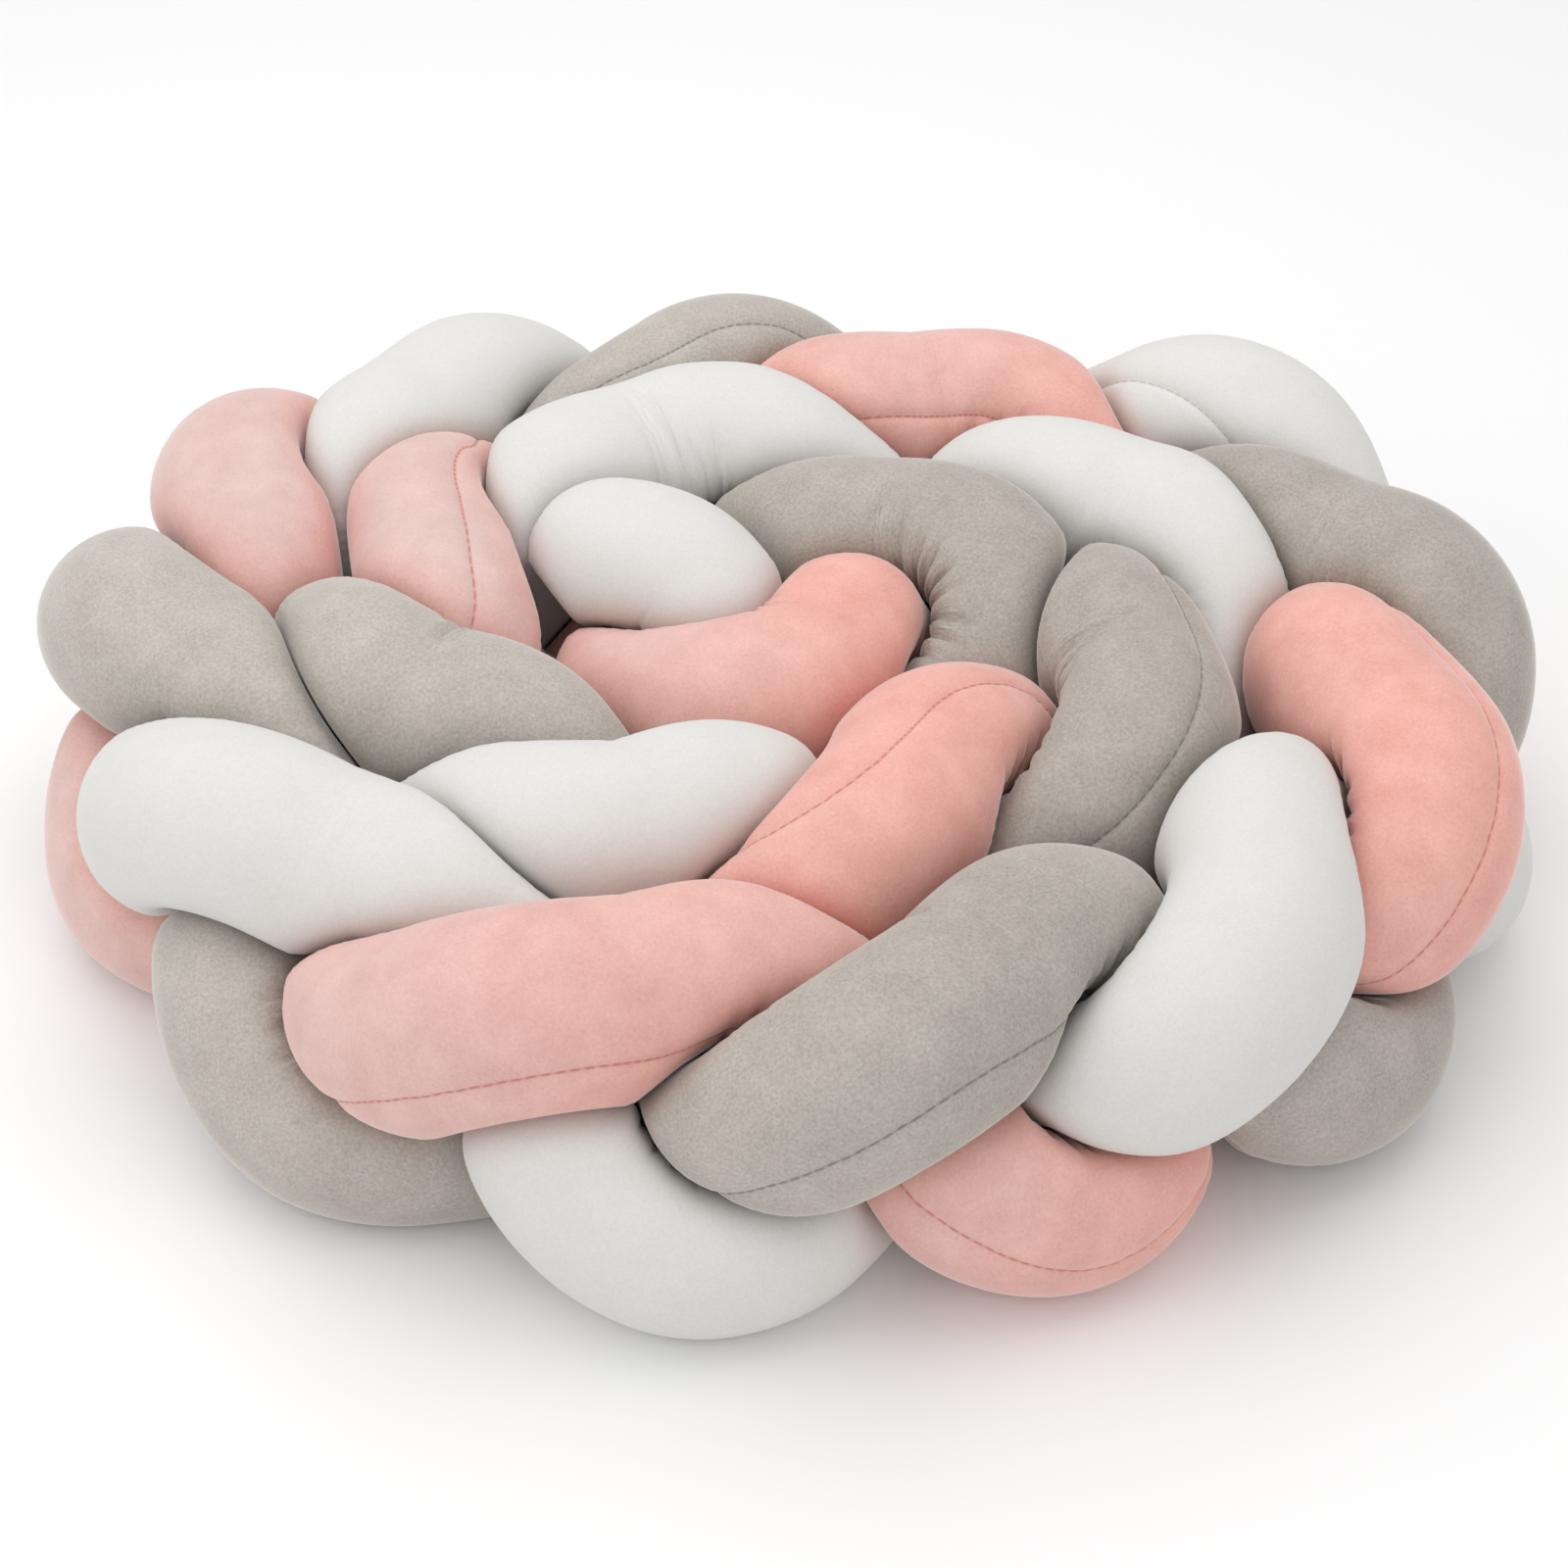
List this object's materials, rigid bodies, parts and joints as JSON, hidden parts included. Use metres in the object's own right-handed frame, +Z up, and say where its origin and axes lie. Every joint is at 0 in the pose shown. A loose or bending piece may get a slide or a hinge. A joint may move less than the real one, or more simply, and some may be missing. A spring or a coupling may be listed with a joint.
{
  "type": "braided crib bumper",
  "caption": "Loosely plaited bumper of stuffed velour tubes in white, dusty pink and light grey, laid on its edge and coiled into a flat oval.",
  "frame": {"origin": "middle of the coil's box, on the surface that it lies on", "axes": "+Z up, +X to the right along the coil's longer side, -Y towards the front as pictured"},
  "size_m": [0.5844, 0.5394, 0.1435],
  "materials": {
    "white_velour": "short soft pile, matt with a pale sheen at grazing angles",
    "pink_velour": "short soft pile, matt with a pale sheen at grazing angles",
    "grey_velour": "short soft pile, matt with a pale sheen at grazing angles"
  },
  "bodies": {
    "root": {"tube_white": "white_velour", "tube_pink": "pink_velour", "tube_grey": "grey_velour"}
  },
  "joints": []
}
